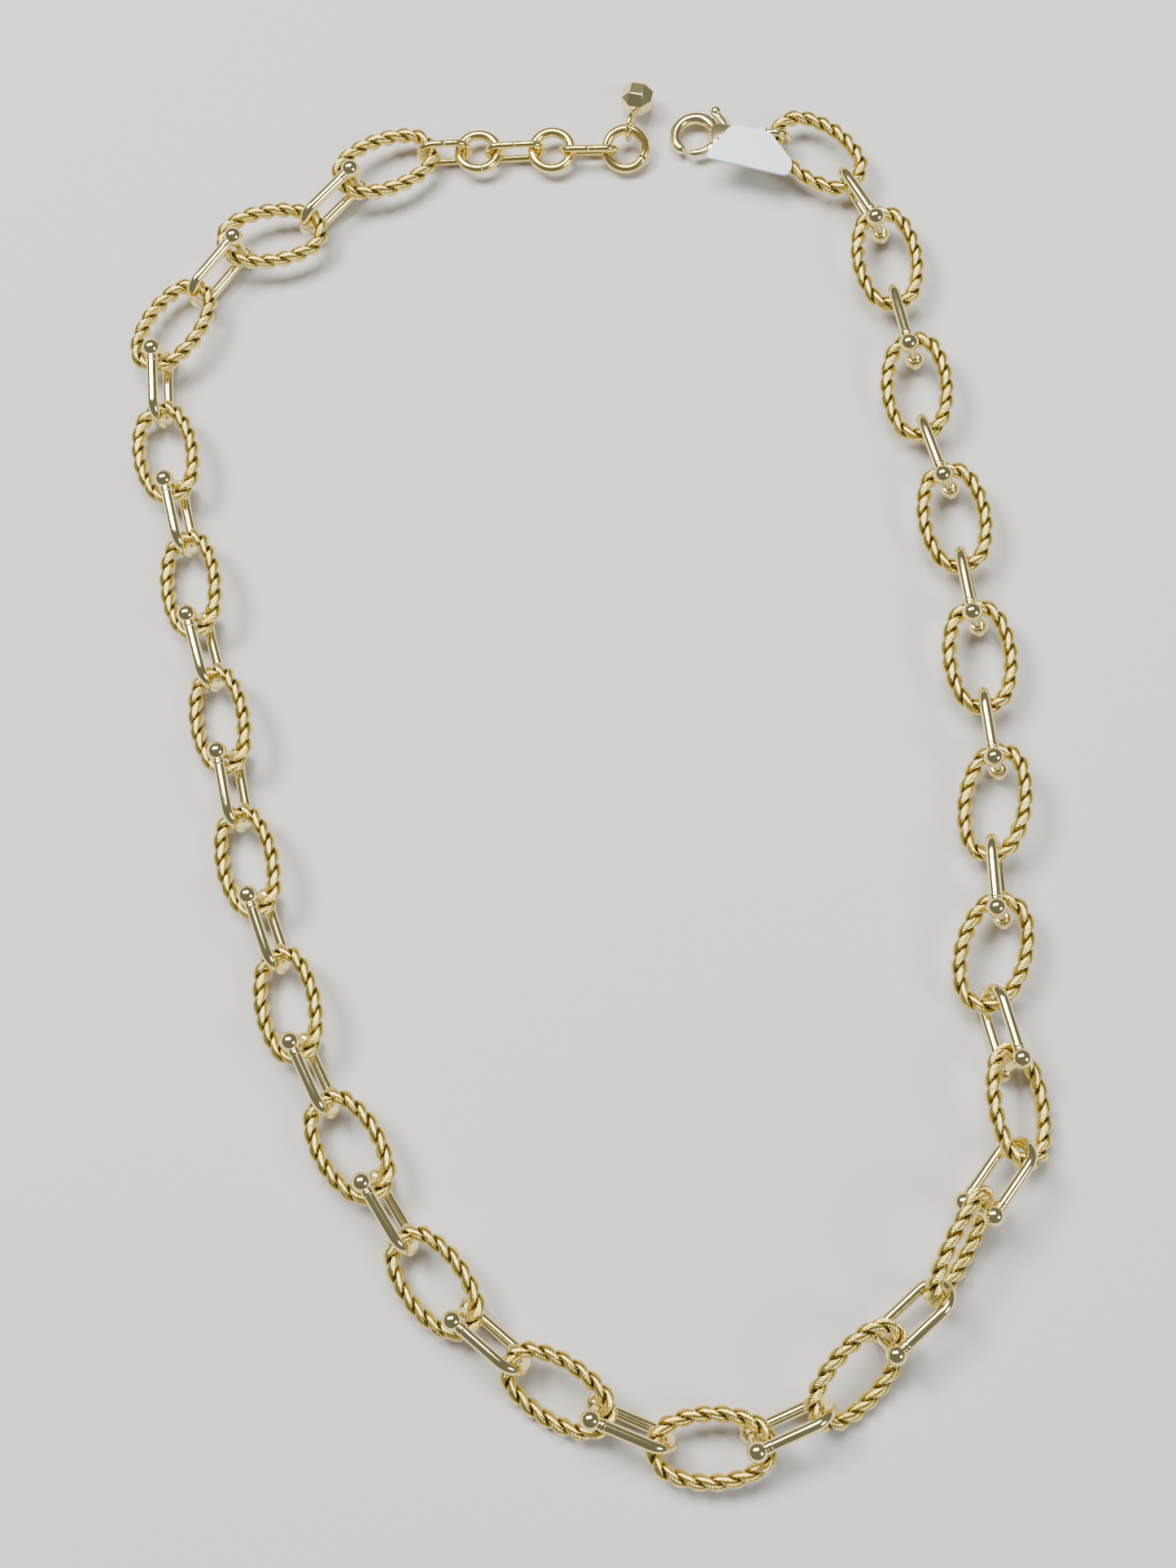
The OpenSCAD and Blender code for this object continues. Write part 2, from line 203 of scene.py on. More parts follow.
class Bench:
    """Small modelling steps shared by all the makers."""

    @staticmethod
    def clear() -> None:
        """Leaves edit mode and deselects everything."""
        if bpy.context.object and bpy.context.object.mode != "OBJECT":
            bpy.ops.object.mode_set(mode="OBJECT")
        bpy.ops.object.select_all(action="DESELECT")

    @staticmethod
    def rod_profile(radius: float, at: Vector, along: Vector, sides: int = 20) -> bpy.types.Object:
        """Adds the round section that a rod is drawn from.

        Args:
            radius: Radius of the rod in metres.
            at: Middle of the section.
            along: Direction of the rod there.
            sides: Number of sides.

        Returns:
            The new object, in edit mode with its section selected.
        """
        Bench.clear()
        turn = along.to_track_quat("Z", "Y").to_euler()
        bpy.ops.mesh.primitive_circle_add(vertices=sides, radius=radius, location=at, rotation=turn)
        obj = bpy.context.object
        bpy.ops.object.transform_apply(location=True, rotation=True, scale=True)
        bpy.ops.object.mode_set(mode="EDIT")
        bpy.ops.mesh.select_all(action="SELECT")
        return obj

    @staticmethod
    def pull(move: Vector, cuts: int = 1) -> None:
        """Extrudes the selected section by a move, in equal steps.

        Args:
            move: The whole move.
            cuts: Number of equal steps.
        """
        for _ in range(cuts):
            bpy.ops.mesh.extrude_region_move(TRANSFORM_OT_translate={"value": move / cuts})

    @staticmethod
    def bend(angle: float, steps: int, centre: Vector, axis: Vector) -> None:
        """Spins the selected section round an axis, by the right-hand rule."""
        bpy.ops.mesh.spin(steps=steps, angle=-angle, center=centre, axis=axis)

    @staticmethod
    def close(obj: bpy.types.Object, cap: bool = True, merge: float = 1e-6) -> None:
        """Merges doubles, fills open ends and points the faces outwards.

        Args:
            obj: The object in edit mode.
            cap: True to fill the open ends.
            merge: Merging distance in metres.
        """
        bpy.ops.mesh.select_all(action="SELECT")
        bpy.ops.mesh.remove_doubles(threshold=merge)
        if cap:
            bpy.ops.mesh.select_all(action="DESELECT")
            bpy.ops.mesh.select_mode(type="EDGE")
            bpy.ops.mesh.select_non_manifold()
            bpy.ops.mesh.edge_face_add()
            bpy.ops.mesh.select_mode(type="VERT")
        bpy.ops.mesh.select_all(action="SELECT")
        bpy.ops.mesh.normals_make_consistent(inside=False)
        bpy.ops.object.mode_set(mode="OBJECT")

    @staticmethod
    def apply_modifiers(obj: bpy.types.Object) -> None:
        """Applies every modifier of a piece.

        Args:
            obj: The piece.
        """
        Bench.clear()
        obj.select_set(True)
        bpy.context.view_layer.objects.active = obj
        for mod in list(obj.modifiers):
            bpy.ops.object.modifier_apply(modifier=mod.name)

    @staticmethod
    def soften(obj: bpy.types.Object, width: float, segments: int = 2, angle: float = 40) -> None:
        """Bevels the sharp edges of a piece.

        Args:
            obj: The piece.
            width: Bevel width in metres.
            segments: Segments of the bevel.
            angle: Edges sharper than this many degrees are bevelled.
        """
        bevel = obj.modifiers.new("edge", "BEVEL")
        bevel.width = width
        bevel.segments = segments
        bevel.limit_method = "ANGLE"
        bevel.angle_limit = math.radians(angle)
        Bench.apply_modifiers(obj)

    @staticmethod
    def join(parts: list) -> bpy.types.Object:
        """Joins several objects into the first.

        Args:
            parts: The objects to join.

        Returns:
            The joined object.
        """
        Bench.clear()
        for part in parts:
            part.select_set(True)
        bpy.context.view_layer.objects.active = parts[0]
        if len(parts) > 1:
            bpy.ops.object.join()
        return bpy.context.object

    @staticmethod
    def smooth(obj: bpy.types.Object, angle: float = 40) -> None:
        """Shades a piece smooth, keeping its sharper edges crisp.

        Args:
            obj: The piece.
            angle: Edges sharper than this many degrees stay crisp.
        """
        Bench.clear()
        obj.select_set(True)
        bpy.context.view_layer.objects.active = obj
        bpy.ops.object.shade_smooth_by_angle(angle=math.radians(angle))

    @staticmethod
    def ball(radius: float, at: Vector, segments: int = 24, rings: int = 14) -> bpy.types.Object:
        """Adds a round bead at a place.

        Args:
            radius: Radius in metres.
            at: Middle of the bead.
            segments: Segments round it.
            rings: Rings from pole to pole.

        Returns:
            The bead.
        """
        Bench.clear()
        bpy.ops.mesh.primitive_uv_sphere_add(segments=segments, ring_count=rings, radius=radius,
                                             location=at)
        obj = bpy.context.object
        bpy.ops.object.transform_apply(location=True, rotation=True, scale=True)
        return obj

    @staticmethod
    def drum(radius: float, depth: float, at: Vector, along: Vector, bevel: float,
             sides: int = 24) -> bpy.types.Object:
        """Adds a short bevelled drum, such as a collar, a pin or a rivet.

        Args:
            radius: Radius in metres.
            depth: Length in metres.
            at: Middle of the drum.
            along: Axis direction.
            bevel: Width of the edge round.
            sides: Number of sides.

        Returns:
            The drum.
        """
        obj = Bench.rod_profile(radius, at - along.normalized() * depth / 2, along, sides)
        Bench.pull(along.normalized() * depth)
        Bench.close(obj)
        Bench.soften(obj, bevel, 3)
        return obj


class Seat:
    """Finds where a CAD node lies and hands the finished pieces over to the frame."""

    def __init__(self, frame: dict) -> None:
        """Keeps the loaded frame."""
        self.frame = frame
        behaviour = frame["record"]["behaviour"]
        self.body_of = {n: b for b, ns in behaviour["bodies"].items() for n in ns}
        self.joints = {j["name"]: j for j in behaviour["joints"]}

    def hinge(self, name: str) -> tuple:
        """Place and axis of a hinge of the record, as arrays."""
        joint = self.joints[name]
        return np.array(joint["pos_m"]), np.array(joint["axis"])

    def points(self, node: str) -> tuple:
        """Reads a node's mesh.

        Args:
            node: Name of the CAD node.

        Returns:
            Vertex positions and triangle corners as arrays.
        """
        mesh = self.frame["nodes"][node].data
        verts = np.empty(len(mesh.vertices) * 3)
        mesh.vertices.foreach_get("co", verts)
        mesh.calc_loop_triangles()
        tris = np.empty(len(mesh.loop_triangles) * 3, dtype=np.int64)
        mesh.loop_triangles.foreach_get("vertices", tris)
        return verts.reshape(-1, 3), tris.reshape(-1, 3)

    def axes(self, node: str) -> tuple:
        """Middle and principal axes of a node's surface, longest spread first.

        Args:
            node: Name of the CAD node.

        Returns:
            The middle and a 3x3 array with the axes in its columns.
        """
        verts, tris = self.points(node)
        a, b, c = (verts[tris[:, k]] for k in range(3))
        area = np.linalg.norm(np.cross(b - a, c - a), axis=1) / 2
        mid = ((a + b + c) * (area / 3)[:, None]).sum(0) / area.sum()
        a, b, c = a - mid, b - mid, c - mid
        s = a + b + c
        cov = sum(np.einsum("n,ni,nj->ij", area / 12, p, p) for p in (s, a, b, c))
        values, vectors = np.linalg.eigh(cov)
        return mid, vectors[:, np.argsort(-values)]

    def matrix(self, mid: np.ndarray, x: np.ndarray, z: np.ndarray) -> Matrix:
        """Placement with local X and Z along the given directions.

        Args:
            mid: Where the local origin goes.
            x: Direction of local X.
            z: Direction of local Z.

        Returns:
            The placement matrix.
        """
        x = x / np.linalg.norm(x)
        z = z - x * (z @ x)
        z = z / np.linalg.norm(z)
        y = np.cross(z, x)
        m = Matrix.Identity(4)
        for k in range(3):
            m[k][0], m[k][1], m[k][2], m[k][3] = x[k], y[k], z[k], mid[k]
        return m

    def hand_over(self, obj: bpy.types.Object, name: str, node: str, slot: Slot,
                  finish: Union[PlateFinish, CardFinish], place: Optional[Matrix] = None) -> bpy.types.Object:
        """Names, places, dresses and seats a finished piece.

        Args:
            obj: The finished piece.
            name: Its new name.
            node: The CAD node it stands for.
            slot: Material slot in the record; not used.
            finish: The finish object whose material it gets.
            place: Placement matrix, if the piece was modelled at the origin.

        Returns:
            The piece.
        """
        obj.name = obj.data.name = name
        if place is not None:
            obj.data.transform(place)
        obj.data.materials.clear()
        obj.data.materials.append(bpy.data.materials.get(finish.name) or finish.material())
        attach(obj, self.body_of[node])
        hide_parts(node)
        LOG.info("%s: %d faces on %s", name, len(obj.data.polygons), self.body_of[node])
        return obj

    @staticmethod
    def copy(master: bpy.types.Object) -> bpy.types.Object:
        """Copies a piece, with a mesh of its own.

        Args:
            master: The piece to copy.

        Returns:
            The copy.
        """
        twin = master.copy()
        twin.data = master.data.copy()
        bpy.context.scene.collection.objects.link(twin)
        return twin

    @staticmethod
    def discard(obj: bpy.types.Object) -> None:
        """Removes a master that has been copied.

        Args:
            obj: The master.
        """
        mesh = obj.data
        bpy.data.objects.remove(obj)
        bpy.data.meshes.remove(mesh)


# ---------------------------------------------------------------- rope links


@dataclass
class RopeLinks:
    """Oval links of two-strand rope, each strand a bundle of fine wires."""

    seat: Seat
    long_half: float = 7.3 * MM
    wide_half: float = 4.2 * MM
    end_radius: float = 3.4 * MM
    rope_length: float = 36.8 * MM
    strand_offset: float = 0.6 * MM
    bundle_radius: float = 0.43 * MM
    wire_radius: float = 0.165 * MM
    wires: int = 9
    turns: int = 8
    wire_turns: int = 4
    stations: int = 150
    # Painted crevice shade starts this close to the rope's middle line and is full this much closer.
    crevice_shade_from: float = 0.88 * MM
    crevice_shade_ramp: float = 0.34 * MM

    def middle_line(self, n: int) -> tuple:
        """Points, tangents and outward normals along the oval, evenly spaced.

        Args:
            n: Number of points.

        Returns:
            Arrays of points, tangents and normals.
        """
        run = self.long_half - self.end_radius
        side = (run**2 + self.wide_half**2 - self.end_radius**2) / (2 * (self.wide_half - self.end_radius))
        turn = math.atan2(side - self.wide_half, run)
        arcs = []
        for half in (0.0, math.pi):
            arcs.append((half, run, 0.0, self.end_radius, -turn, turn))
            arcs.append((half, 0.0, self.wide_half - side, side, turn, math.pi - turn))
        lengths = [a[3] * (a[5] - a[4]) for a in arcs]
        total = sum(lengths)
        points, normals = [], []
        for s in np.linspace(0, total, n, endpoint=False):
            k = 0
            while s > lengths[k]:
                s -= lengths[k]
                k += 1
            half, cx, cy, radius, start, _ = arcs[k]
            t = start + s / radius
            c, q = math.cos(half), math.sin(half)
            x, y = cx + radius * math.cos(t), cy + radius * math.sin(t)
            points.append((x * c - y * q, x * q + y * c, 0.0))
            normals.append((math.cos(t + half), math.sin(t + half), 0.0))
        points, normals = np.array(points), np.array(normals)
        tangents = np.cross((0, 0, 1.0), normals)
        return points, tangents, normals

    def wire_path(self, strand: int, wire: int) -> np.ndarray:
        """The closed path of one fine wire.

        Args:
            strand: 0 or 1.
            wire: Number of the wire in its bundle.

        Returns:
            An array of points.
        """
        points, tangents, normals = self.middle_line(self.stations)
        u = np.arange(self.stations) / self.stations * 2 * math.pi
        phi = self.turns * u + strand * math.pi
        up = np.array((0.0, 0.0, -1.0))
        out = np.cos(phi)[:, None] * normals + np.sin(phi)[:, None] * up
        across = -np.sin(phi)[:, None] * normals + np.cos(phi)[:, None] * up
        lay = math.atan2(2 * math.pi * self.turns * self.strand_offset, self.rope_length)
        level = math.cos(lay) * across - math.sin(lay) * tangents
        psi = self.wire_turns * u + 2 * math.pi * wire / self.wires
        return (points + self.strand_offset * out
                + self.bundle_radius * (np.cos(psi)[:, None] * out + np.sin(psi)[:, None] * level))

    def master(self) -> bpy.types.Object:
        """Makes one rope link at the origin, with the depth of its hollows as a painted-shade attribute.

        Returns:
            The finished link.
        """
        Bench.clear()
        curve = bpy.data.curves.new("rope", "CURVE")
        curve.dimensions = "3D"
        curve.bevel_depth = self.wire_radius
        curve.bevel_resolution = 1
        for strand in range(2):
            for wire in range(self.wires):
                path = self.wire_path(strand, wire)
                spline = curve.splines.new("POLY")
                spline.points.add(len(path) - 1)
                spline.points.foreach_set("co", np.c_[path, np.ones(len(path))].ravel())
                spline.use_cyclic_u = True
        obj = bpy.data.objects.new("rope", curve)
        bpy.context.scene.collection.objects.link(obj)
        obj.select_set(True)
        bpy.context.view_layer.objects.active = obj
        bpy.ops.object.convert(target="MESH")
        obj = bpy.context.object
        self.paint_crevice_shade(obj)
        Bench.smooth(obj, 80)
        return obj

    def paint_crevice_shade(self, obj: bpy.types.Object) -> None:
        """Writes how deep each point lies between the strands and wires, as the weight of the painted shade
        that darkens these crevices.

        Args:
            obj: The rope link at the origin.
        """
        verts = np.empty(len(obj.data.vertices) * 3)
        obj.data.vertices.foreach_get("co", verts)
        verts = verts.reshape(-1, 3)
        line = self.middle_line(400)[0]
        reach = np.empty(len(verts))
        batch = 4000
        for k in range(0, len(verts), batch):
            gap = np.linalg.norm(verts[k:k + batch, None] - line[None], axis=2)
            reach[k:k + batch] = gap.min(axis=1)
        # Deeper points get more painted shade in the base colour.
        depth = np.clip((self.crevice_shade_from - reach) / self.crevice_shade_ramp, 0, 1)
        layer = obj.data.attributes.new("painted_crevice_shade", "FLOAT", "POINT")
        layer.data.foreach_set("value", depth.astype(np.float32))

    def build(self) -> None:
        """Makes every rope link."""
        master = self.master()
        nodes = sorted(n for n in self.seat.frame["nodes"] if n.startswith("rope_link_"))
        for node in nodes:
            mid, axes = self.seat.axes(node)
            place = self.seat.matrix(mid, axes[:, 0], axes[:, 2])
            self.seat.hand_over(Seat.copy(master), node + "_strands", node, Slot.ROPE, ROPE_GOLD, place)
        Seat.discard(master)


# ---------------------------------------------------------------- shackles


@dataclass
class Shackles:
    """Bright U-shackles with a collar and a ball on each leg and a pin between the balls."""

    seat: Seat
    reach: float = 8.3 * MM
    half_gap: float = 2.6 * MM
    leg_radius: float = 0.8 * MM
    bow_x: float = 0.45 * MM
    ball_radius: float = 1.4 * MM
    collar_radius: float = 0.9 * MM
    collar_length: float = 0.6 * MM
    pin_radius: float = 0.65 * MM
    neck_part: float = 1.04
    fillet_part: float = 1.3

    def master(self) -> bpy.types.Object:
        """Makes one shackle with its bow's inner contact at the origin and its pin on +X.

        Returns:
            The finished shackle.
        """
        x, z = Vector((1, 0, 0)), Vector((0, 0, 1))
        rod = Bench.rod_profile(self.leg_radius, Vector((self.reach, 0, self.half_gap)), x)
        Bench.pull(x * (self.bow_x - self.reach), 4)
        Bench.bend(math.pi, 24, x * self.bow_x, Vector((0, -1, 0)))
        Bench.pull(x * (self.reach - self.bow_x), 4)
        Bench.close(rod)
        parts = [rod]
        for side in (-1, 1):
            at = Vector((self.reach, 0, side * self.half_gap))
            parts.append(Bench.ball(self.ball_radius, at))
            collar_at = at - x * (self.ball_radius + self.collar_length / 2)
            parts.append(Bench.drum(self.collar_radius, self.collar_length, collar_at, x, 0.12 * MM))
            neck_at = at - x * (self.ball_radius - 0.12 * MM)
            parts.append(Bench.drum(self.leg_radius * self.neck_part, 0.3 * MM, neck_at, x, 0.05 * MM))
        parts.append(Bench.drum(self.pin_radius, 2 * self.half_gap, x * self.reach, z, 0.1 * MM))
        for side in (-1, 1):
            at = Vector((self.reach, 0, side * (self.half_gap - self.ball_radius * 0.86)))
            parts.append(Bench.drum(self.pin_radius * self.fillet_part, 0.3 * MM, at, z, 0.08 * MM))
        obj = Bench.join(parts)
        Bench.smooth(obj)
        return obj

    def place_of(self, node: str) -> Matrix:
        """Where a shackle lies, from its CAD node.

        Args:
            node: Name of the CAD node.

        Returns:
            The placement matrix.
        """
        mid, axes = self.seat.axes(node)
        x, z = axes[:, 0], axes[:, 1]
        verts, _ = self.seat.points(node)
        run = (verts - mid) @ x
        if run.max() > -run.min():
            x = -x
            run = -run
        pin = mid + x * (run.max() - self.ball_radius)
        return self.seat.matrix(pin - x * self.reach, x, z)

    def build(self) -> None:
        """Makes every shackle."""
        master = self.master()
        for node in sorted(n for n in self.seat.frame["nodes"] if n.startswith("shackle_")):
            self.seat.hand_over(Seat.copy(master), node + "_bright", node, Slot.POLISHED, BRIGHT_GOLD,
                                self.place_of(node))
        Seat.discard(master)


# ---------------------------------------------------------------- extender and charm


@dataclass
class Extender:
    """Jump link, three butt-jointed rings and two connectors, then the charm on its small ring."""

    seat: Seat
    ring_radius: float = 2.9 * MM
    ring_wire: float = 0.75 * MM
    link_wire: float = 0.55 * MM
    connector_half: tuple = (4.0 * MM, 1.5 * MM)
    jump_half: tuple = (3.6 * MM, 1.9 * MM)
    seam: float = 0.06 * MM
    small_radius: float = 1.9 * MM
    small_wire: float = 0.4 * MM
    bail_radius: float = 0.9 * MM
    charm_size: float = 4.6 * MM
    facet_cut: float = 1.34 * MM

    def wire_ring(self, radius: float, wire: float, steps: int = 48) -> bpy.types.Object:
        """A round ring of bent wire with its butt joint showing as a fine line.

        Args:
            radius: Radius of the wire's middle line.
            wire: Radius of the wire.
            steps: Steps round the ring.

        Returns:
            The ring, in the XY plane.
        """
        obj = Bench.rod_profile(wire, Vector((radius, 0, 0)), Vector((0, 1, 0)), 20)
        Bench.bend(2 * math.pi - self.seam / radius, steps, Vector((0, 0, 0)), Vector((0, 0, 1)))
        Bench.close(obj)
        Bench.soften(obj, 0.08 * MM, 2)
        Bench.smooth(obj)
        return obj

    def wire_loop(self, half: tuple, wire: float) -> bpy.types.Object:
        """A long wire link with straight sides and its joint in the middle of one side.

        Args:
            half: Half length and half width of the wire's middle line.
            wire: Radius of the wire.

        Returns:
            The loop, in the XY plane with its length on X.
        """
        a, b = half
        z = Vector((0, 0, 1))
        obj = Bench.rod_profile(wire, Vector((-self.seam / 2, b, 0)), Vector((-1, 0, 0)), 18)
        Bench.pull(Vector((-(a - b) + self.seam / 2, 0, 0)), 2)
        Bench.bend(math.pi, 18, Vector((-(a - b), 0, 0)), z)
        Bench.pull(Vector((2 * (a - b), 0, 0)), 4)
        Bench.bend(math.pi, 18, Vector((a - b, 0, 0)), z)
        Bench.pull(Vector((-(a - b) + self.seam / 2, 0, 0)), 2)
        Bench.close(obj)
        Bench.soften(obj, 0.06 * MM, 2)
        Bench.smooth(obj)
        return obj

    def place_of(self, node: str) -> Matrix:
        """Placement of a loop or ring from its CAD node."""
        mid, axes = self.seat.axes(node)
        return self.seat.matrix(mid, axes[:, 0], axes[:, 2])

    def charm(self) -> bpy.types.Object:
        """The faceted bead with its bail.

        Returns:
            The charm with its bail round the origin and the bead on +X.
        """
        bail = self.wire_ring(self.bail_radius, self.small_wire, 28)
        Bench.clear()
        at = Vector((self.bail_radius + self.charm_size / 2, 0, 0))
        bpy.ops.mesh.primitive_cube_add(size=self.charm_size, location=at)
        bead = bpy.context.object
        bpy.ops.object.transform_apply(location=True, rotation=True, scale=True)
        bpy.ops.object.mode_set(mode="EDIT")
        bpy.ops.mesh.select_all(action="SELECT")
        bpy.ops.mesh.bevel(offset=self.facet_cut, segments=1, affect="EDGES")
        bpy.ops.mesh.select_all(action="SELECT")
        bpy.ops.mesh.inset(thickness=0.1 * MM, depth=0.0, use_individual=True)
        bpy.ops.object.mode_set(mode="OBJECT")
        Bench.soften(bead, 0.07 * MM, 2, 20)
        collar_at = Vector((1.1 * MM, 0, 0))
        collar = Bench.drum(0.7 * MM, 0.5 * MM, collar_at, Vector((1, 0, 0)), 0.1 * MM)
        obj = Bench.join([bail, bead, collar])
        Bench.smooth(obj, 18)
        return obj

    def build(self) -> None:
        """Makes the extender chain, the charm ring and the charm."""
        groups = (
            (self.wire_ring(self.ring_radius, self.ring_wire),
             ("extender_ring_1", "extender_ring_2", "extender_ring_3")),
            (self.wire_loop(self.connector_half, self.link_wire),
             ("extender_connector_1", "extender_connector_2")),
            (self.wire_loop(self.jump_half, self.link_wire), ("extender_jump_link",)),
            (self.wire_ring(self.small_radius, self.small_wire, 36), ("charm_ring",)),
        )
        for master, nodes in groups:
            for node in nodes:
                self.seat.hand_over(Seat.copy(master), node + "_wire", node, Slot.EXTENDER,
                                    EXTENDER_GOLD, self.place_of(node))
            Seat.discard(master)
        bail, up = self.seat.hinge("charm_hinge")
        x = self.seat.axes("charm")[0] - bail
        z = np.cross(x, up)
        if z[2] < 0:
            z = -z
        self.seat.hand_over(self.charm(), "charm_faceted", "charm", Slot.EXTENDER, CLASP_GOLD,
                            self.seat.matrix(bail, x, z))


# ---------------------------------------------------------------- clasp and tag


@dataclass
class Clasp:
    """Lobster clasp: cast body with eye, cheeks and hook, and a sprung lever on a rivet."""

    seat: Seat
    hook_radius: float = 3.0 * MM
    hook_x: float = 8.4 * MM
    hook_wire: float = 1.0 * MM
    gate_wire: float = 0.6 * MM
    pivot: tuple = (4.6 * MM, 1.0 * MM)
    cheek_low: float = 0.55 * MM
    cheek_thick: float = 0.5 * MM
    hook_angles: tuple = (195, 410)
    gate_angles: tuple = (92, 135)
    thumb_angles: tuple = (177, 240)
    thumb_radius: float = 4.7 * MM
    thumb_width: float = 0.8 * MM
    knob_radius: float = 0.85 * MM
    knob_out: float = 5.05 * MM
    lever_half: float = 0.5 * MM
    eye_x: float = 0.15 * MM
    eye_radius: float = 1.3 * MM
    eye_wire: float = 0.5 * MM
    jump_half: tuple = (2.8 * MM, 1.9 * MM)
    neck_outline: tuple = ((1.5, -0.95), (2.5, -1.2), (2.5, 1.2), (1.5, 0.95))
    cheek_outline: tuple = ((1.7, -1.2), (3.6, -1.65), (5.6, -1.85), (6.15, -0.2), (5.3, 2.3),
                            (3.6, 2.15), (1.7, 1.2))

    def on_arc(self, radius: float, degrees: float) -> Vector:
        """The point at an angle on a circle round the hook's centre."""
        a = math.radians(degrees)
        return Vector((self.hook_x + radius * math.cos(a), radius * math.sin(a), 0))

    def place(self) -> Matrix:
        """Placement of the clasp's own frame, from its two hinges."""
        eye = self.seat.hinge("clasp_hinge")[0]
        pin, z = self.seat.hinge("clasp_lever_hinge")
        run = pin - eye
        turn = -math.atan2(self.pivot[1], self.pivot[0])
        x = run * math.cos(turn) + np.cross(z, run) * math.sin(turn)
        return self.seat.matrix(eye, x, z)

    def arc(self, radius: float, start: float, end: float, wire: float, steps: int,
            taper: float = 0.0, sides: int = 24) -> bpy.types.Object:
        """A bent rod round the hook's centre with domed ends.

        Args:
            radius: Radius of the bend.
            start: First angle in degrees.
            end: Last angle in degrees.
            wire: Radius of the rod.
            steps: Steps along the bend.
            taper: Part by which the rod thins towards its end.
            sides: Sides of the rod.

        Returns:
            The rod.
        """
        a = math.radians(start)
        c = Vector((self.hook_x, 0, 0))
        along = Vector((-math.sin(a), math.cos(a), 0))
        rod = Bench.rod_profile(wire, self.on_arc(radius, start), along, sides)
        Bench.bend(math.radians(end - start), steps, c, Vector((0, 0, 1)))
        Bench.close(rod)
        parts = [rod]
        for turn in (start, end):
            parts.append(Bench.ball(wire, self.on_arc(radius, turn), sides, 16))
        obj = Bench.join(parts)
        if taper:
            for v in obj.data.vertices:
                flat = Vector((v.co.x - c.x, v.co.y, 0))
                t = math.degrees(math.atan2(flat.y, flat.x)) % 360
                t = t + 360 if t < start - 40 else t
                k = 1 - taper * min(max((t - start) / (end - start), 0), 1)
                mid = flat.normalized() * radius
                v.co = c + mid + (Vector((v.co.x - c.x, v.co.y, v.co.z)) - mid) * k
        return obj

    def plate(self, outline: list, low: float, high: float, edge: float) -> bpy.types.Object:
        """A flat piece cut to an outline, with rounded edges.

        Args:
            outline: Corner points as (x, y), counter-clockwise.
            low: Lower face in metres.
            high: Upper face in metres.
            edge: Width of the edge round.

        Returns:
            The plate.
        """
        Bench.clear()
        bpy.ops.mesh.primitive_circle_add(vertices=len(outline), radius=MM, fill_type="NGON",
                                          location=(0, 0, 0))
        obj = bpy.context.object
        for v, (x, y) in zip(obj.data.vertices, outline):
            v.co = (x, y, low)
        bpy.ops.object.mode_set(mode="EDIT")
        bpy.ops.mesh.select_all(action="SELECT")
        Bench.pull(Vector((0, 0, high - low)))
        Bench.close(obj, cap=False)
        Bench.soften(obj, edge, 3, 30)
        return obj

    def rounded(self, corners: list, radius: float, steps: int = 5) -> list:
        """Rounds the corners of an outline given in millimetres.

        Args:
            corners: Corner points in mm.
            radius: Corner radius in mm.
            steps: Points per corner.

        Returns:
            Outline points in metres.
        """
        out = []
        n = len(corners)
        for k in range(n):
            p, a, b = Vector(corners[k]), Vector(corners[k - 1]), Vector(corners[(k + 1) % n])
            r = min(radius, (a - p).length * 0.45, (b - p).length * 0.45)
            start, end = p + (a - p).normalized() * r, p + (b - p).normalized() * r
            for s in range(steps + 1):
                t = s / steps
                q = start * (1 - t) ** 2 + p * (2 * t * (1 - t)) + end * t**2
                out.append((q.x * MM, q.y * MM))
        return out

    def body(self) -> bpy.types.Object:
        """The eye, the neck with its two cheeks, and the hook.

        Returns:
            The clasp body in the clasp's own frame.
        """
        hook = self.arc(self.hook_radius, *self.hook_angles, self.hook_wire, 44, 0.22, 28)
        eye_at = Vector((self.eye_x, 0, 0))
        rim = Vector((self.eye_x + self.eye_radius, 0, 0))
        eye = Bench.rod_profile(self.eye_wire, rim, Vector((0, 1, 0)), 18)
        Bench.bend(2 * math.pi, 36, eye_at, Vector((0, 0, 1)))
        Bench.close(eye, cap=False)
        parts = [hook, eye]
        top = self.cheek_low + self.cheek_thick
        neck = self.rounded(self.neck_outline, 0.3)
        parts.append(self.plate(neck, -top, top, 0.2 * MM))
        cheek = self.rounded(self.cheek_outline, 0.9)
        for low in (-top, self.cheek_low):
            parts.append(self.plate(cheek, low, low + self.cheek_thick, 0.16 * MM))
        obj = Bench.join(parts)
        Bench.smooth(obj)
        return obj

